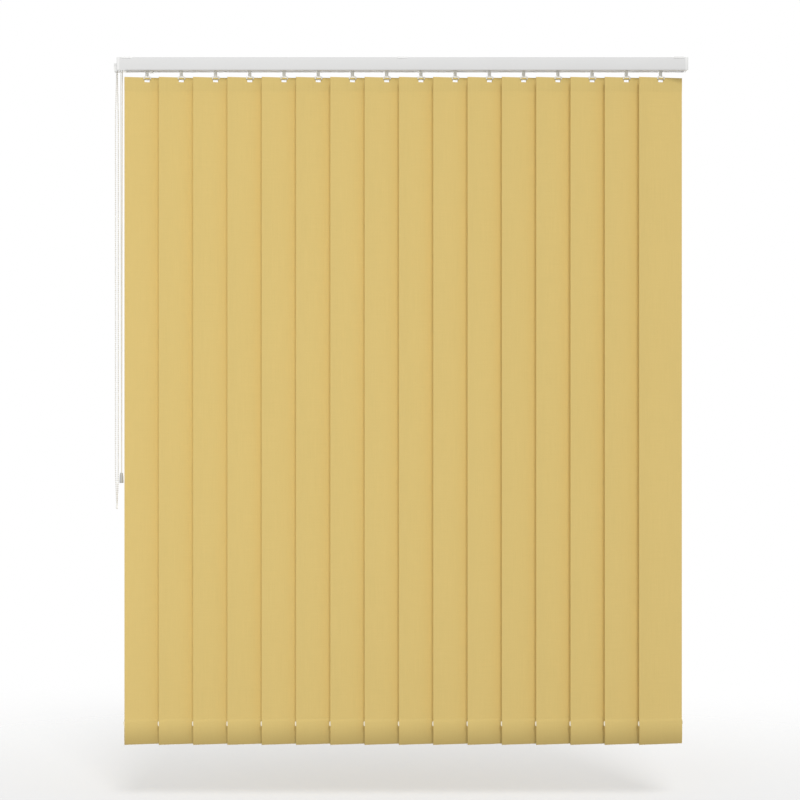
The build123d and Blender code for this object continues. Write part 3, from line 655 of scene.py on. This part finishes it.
fabric = Finish("yellow_weave", (0.70, 0.53, 0.20), 0.85, Sheen_Weight=0.15, Specular_IOR_Level=0.2)
on_cloth = fabric.node("ShaderNodeUVMap", {"uv_map": "cut"})
across = fabric.node("ShaderNodeSeparateXYZ", None, {0: on_cloth}, "X")
along = fabric.node("ShaderNodeSeparateXYZ", None, {0: on_cloth}, "Y")
thread_pitch = 0.00055
warp = (across * (2 * math.pi / thread_pitch)).sine()
weft = (along * (2 * math.pi / thread_pitch)).sine()
slubs_warp = fabric.noise(
    fabric.node("ShaderNodeMapping", None, {"Vector": on_cloth, "Scale": (900, 14, 1)}), 1.0
)
slubs_weft = fabric.noise(
    fabric.node("ShaderNodeMapping", None, {"Vector": on_cloth, "Scale": (18, 900, 1)}), 1.0
)
clouds = fabric.noise(
    fabric.node("ShaderNodeMapping", None, {"Vector": on_cloth, "Scale": (9, 3, 1)}), 1.0
)
weave = 0.5 + 0.25 * (warp * weft)
uneven = 0.5 * slubs_warp + 0.35 * slubs_weft + 0.15 * clouds
thread_tone = 0.65 * uneven + 0.35 * weave
woven_colour = fabric.mix(thread_tone, (0.655, 0.495, 0.165), (0.845, 0.655, 0.258))
# Painted shade: the cloth's colour is darkened towards the bottom fold, standing in for the shade on the
# hem's lower part.
from_fold = (along - bottom_fold).size()
painted_hem_shade = fabric.node(
    "ShaderNodeMapRange",
    {"interpolation_type": "SMOOTHSTEP"},
    {"Value": from_fold, "From Min": 0.0, "From Max": 0.045, "To Min": 0.75, "To Max": 0.0},
)
fabric_colour_with_painted_shade = fabric.mix(painted_hem_shade, woven_colour, (0.530, 0.395, 0.140))
fabric.set(fabric.surface, {"Base Color": fabric_colour_with_painted_shade})
fabric.bump(weave + 0.6 * uneven, 0.00014, 0.8)
glow = fabric.node("ShaderNodeBsdfTranslucent", None, {"Color": (0.78, 0.62, 0.28, 1)})
front_of_cloth = Value(fabric, fabric.surface.outputs[0])
through = fabric.node("ShaderNodeMixShader", None, {"Fac": 0.15, 1: front_of_cloth, 2: glow})
fabric.set(fabric.output, {"Surface": through})

# Grid lines across the cloth, with two on each side of the hook's slot.
columns = [-vane_half, -0.043, -0.036, -0.026, -0.016, -slot_half, -0.0046, 0.0046, slot_half]
columns += [0.016, 0.026, 0.036, 0.043, vane_half]


def at_hook(number, points):
    """Turns points made about a vane's own axis to the closed angle at its place on the rail."""
    turn = Matrix.Rotation(closed_angle, 4, "Z")
    shift = Matrix.Translation((first_vane + (number - 1) * vane_pitch, hook_y, 0))
    return [shift @ turn @ Vector(point) for point in points]


def vane_cloth(number):
    """One vane: the folded strip on a grid, with the hook's slot cut through both top layers."""
    mesh = bmesh.new()
    layer = mesh.loops.layers.uv.new("cut")
    travelled = 0.0
    rows = []
    for index, (y, z) in enumerate(fold_profile):
        if index:
            travelled += math.dist(fold_profile[index - 1], (y, z))
        places = at_hook(number, [(x, y, z) for x in columns])
        rows.append([(mesh.verts.new(place), x, travelled) for place, x in zip(places, columns)])
    for upper, lower in zip(rows, rows[1:]):
        for step in range(len(columns) - 1):
            corners = (upper[step], lower[step], lower[step + 1], upper[step + 1])
            z = sum(corner[0].co.z for corner in corners) / 4
            x = (columns[step] + columns[step + 1]) / 2
            if abs(x) < slot_half and slot_bottom < z < slot_top:
                continue
            face = mesh.faces.new([corner[0] for corner in corners])
            for loop, corner in zip(face.loops, corners):
                loop[layer].uv = (corner[1] + 0.2 * number, corner[2])
    loose = [vertex for vertex in mesh.verts if not vertex.link_faces]
    bmesh.ops.delete(mesh, geom=loose, context="VERTS")
    data = bpy.data.meshes.new(f"vane_cloth_{number:02d}")
    mesh.to_mesh(data)
    mesh.free()
    piece = bpy.data.objects.new(data.name, data)
    bpy.context.collection.objects.link(piece)
    thick = piece.modifiers.new("cloth", "SOLIDIFY")
    thick.thickness = cloth
    thick.offset = 0
    piece.data = evaluated(piece)
    piece.modifiers.clear()
    piece.data.shade_smooth()
    piece.data.set_sharp_from_angle(angle=math.radians(50))
    return piece


# Bottom weights: flat white plastic bars in the hems. An ear at each end stands out of the fabric,
# where a linking chain would clip on.
ear_plastic = Finish("ear_plastic", (0.84, 0.79, 0.66), 0.34)
ear_haze = ear_plastic.noise(ear_plastic.place(), 500.0)
ear_plastic.set(ear_plastic.surface, {"Roughness": 0.28 + 0.14 * ear_haze})
ear_plastic.bump(ear_haze, 0.00003)


def hem_weight(number):
    top = vane_bottom + 0.0464
    bar = [(-0.043, top - 0.042), (0.043, top - 0.042), (0.043, top - 0.0100), (0.0452, top - 0.0092)]
    bar += [(0.0462, top - 0.0080), (0.0465, top - 0.0062), (0.0465, top - 0.0026)]
    bar += [(0.0462, top - 0.0010), (0.0452, top - 0.0001), (0.0440, top)]
    left = [(-x, z) for x, z in reversed(bar[2:])]
    outline = bar + left
    mesh = bmesh.new()
    front = [mesh.verts.new(place) for place in at_hook(number, [(x, -0.0008, z) for x, z in outline])]
    back = [mesh.verts.new(place) for place in at_hook(number, [(x, 0.0008, z) for x, z in outline])]
    mesh.faces.new(front)
    mesh.faces.new(back[::-1])
    for step in range(len(outline)):
        after = (step + 1) % len(outline)
        mesh.faces.new((front[after], front[step], back[step], back[after]))
    rims = [edge for edge in mesh.edges if len(edge.link_faces) == 2 and edge.calc_face_angle(0) > 1]
    bmesh.ops.bevel(mesh, geom=rims, offset=0.0003, segments=2, affect="EDGES", profile=0.5)
    return finished(f"hem_weight_{number:02d}", mesh, 50)


for number in vane_numbers:
    vane = vane_cloth(number)
    vane.data.materials.append(fabric.material)
    weight = hem_weight(number)
    weight.data.materials.append(ear_plastic.material)
    for piece in (vane, weight):
        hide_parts(f"vane_{number:02d}")
        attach(piece, f"hung_vane_{number:02d}")

# ---------------------------------------------------------------------------------------------
# Studio: a pale floor that fades out into a white surround, with soft light from the front, from
# above and from behind. The floor shows from above only.
floor_mesh = bmesh.new()
bmesh.ops.create_circle(floor_mesh, cap_ends=True, segments=96, radius=7.0)
bmesh.ops.translate(floor_mesh, verts=floor_mesh.verts, vec=(0, 0, -1.46))
floor = finished("studio_floor", floor_mesh)
if floor.data.polygons[0].normal.z < 0:
    floor.data.flip_normals()
floor_finish = Finish("studio_floor", (0.86, 0.86, 0.86), 0.9, Specular_IOR_Level=0.0)
floor_place = floor_finish.node("ShaderNodeTexCoord", None, None, "Object")
floor_reach = floor_finish.node("ShaderNodeVectorMath", {"operation": "LENGTH"}, {0: floor_place}, "Value")
fade = floor_finish.node(
    "ShaderNodeMapRange",
    {"interpolation_type": "SMOOTHSTEP"},
    {"Value": floor_reach, "From Min": 0.7, "From Max": 2.8, "To Min": 0.0, "To Max": 1.0},
)
clear = floor_finish.node("ShaderNodeBsdfTransparent")
bounce = floor_finish.node("ShaderNodeBsdfDiffuse", None, {"Color": (0.30, 0.30, 0.30, 1)})
watched = floor_finish.node("ShaderNodeLightPath", None, None, "Is Camera Ray")
mirrored = floor_finish.node("ShaderNodeLightPath", None, None, "Is Glossy Ray")
watched = watched + mirrored
seen_floor = floor_finish.node(
    "ShaderNodeMixShader",
    None,
    {"Fac": watched, 1: bounce, 2: Value(floor_finish, floor_finish.surface.outputs[0])},
)
underside = floor_finish.node("ShaderNodeNewGeometry", None, None, "Backfacing")
shown = floor_finish.node("ShaderNodeMixShader", None, {"Fac": fade + underside, 1: seen_floor, 2: clear})
floor_finish.set(floor_finish.output, {"Surface": shown})
floor.data.materials.append(floor_finish.material)


def soft_lamp(name, place, size, power):
    """A square area lamp that points at the middle of the blind."""
    lamp = bpy.data.objects.new(name, bpy.data.lights.new(name, "AREA"))
    lamp.data.size = size
    lamp.data.energy = power
    lamp.location = place
    lamp.rotation_euler = (Vector((0, 0, -0.68)) - Vector(place)).to_track_quat("-Z", "Y").to_euler()
    bpy.context.collection.objects.link(lamp)


soft_lamp("fill_lamp", (-1.2, -3.8, -0.8), 2.8, 54)
soft_lamp("back_lamp", (0.4, 3.4, 0.1), 2.8, 62)
key_lamp = bpy.data.objects.new("key_lamp", bpy.data.lights.new("key_lamp", "SUN"))
key_lamp.data.energy = 1.45
key_lamp.data.angle = math.radians(18)
key_lamp.rotation_euler = Vector((-0.11, 0.78, -0.60)).to_track_quat("-Z", "Y").to_euler()
bpy.context.collection.objects.link(key_lamp)

# The surround is white to the camera and in reflections, and an even, weaker light otherwise.
studio = bpy.data.worlds.new("studio")
studio.use_nodes = True
bpy.context.scene.world = studio
surround = studio.node_tree
ambient = surround.nodes["Background"]
ambient.inputs["Color"].default_value = (1, 1, 1, 1)
ambient.inputs["Strength"].default_value = 0.45
white = surround.nodes.new("ShaderNodeBackground")
white.inputs["Color"].default_value = (1, 1, 1, 1)
white.inputs["Strength"].default_value = 1.0
rays = surround.nodes.new("ShaderNodeLightPath")
seen = surround.nodes.new("ShaderNodeMath")
seen.operation = "MAXIMUM"
surround.links.new(rays.outputs["Is Camera Ray"], seen.inputs[0])
mirrored = surround.nodes.new("ShaderNodeMath")
mirrored.operation = "MAXIMUM"
surround.links.new(rays.outputs["Is Glossy Ray"], mirrored.inputs[0])
surround.links.new(rays.outputs["Is Transmission Ray"], mirrored.inputs[1])
surround.links.new(mirrored.outputs[0], seen.inputs[1])
blend = surround.nodes.new("ShaderNodeMixShader")
surround.links.new(seen.outputs[0], blend.inputs[0])
surround.links.new(ambient.outputs[0], blend.inputs[1])
surround.links.new(white.outputs[0], blend.inputs[2])
surround.links.new(blend.outputs[0], surround.nodes["World Output"].inputs["Surface"])

bpy.context.scene.view_settings.view_transform = "Standard"
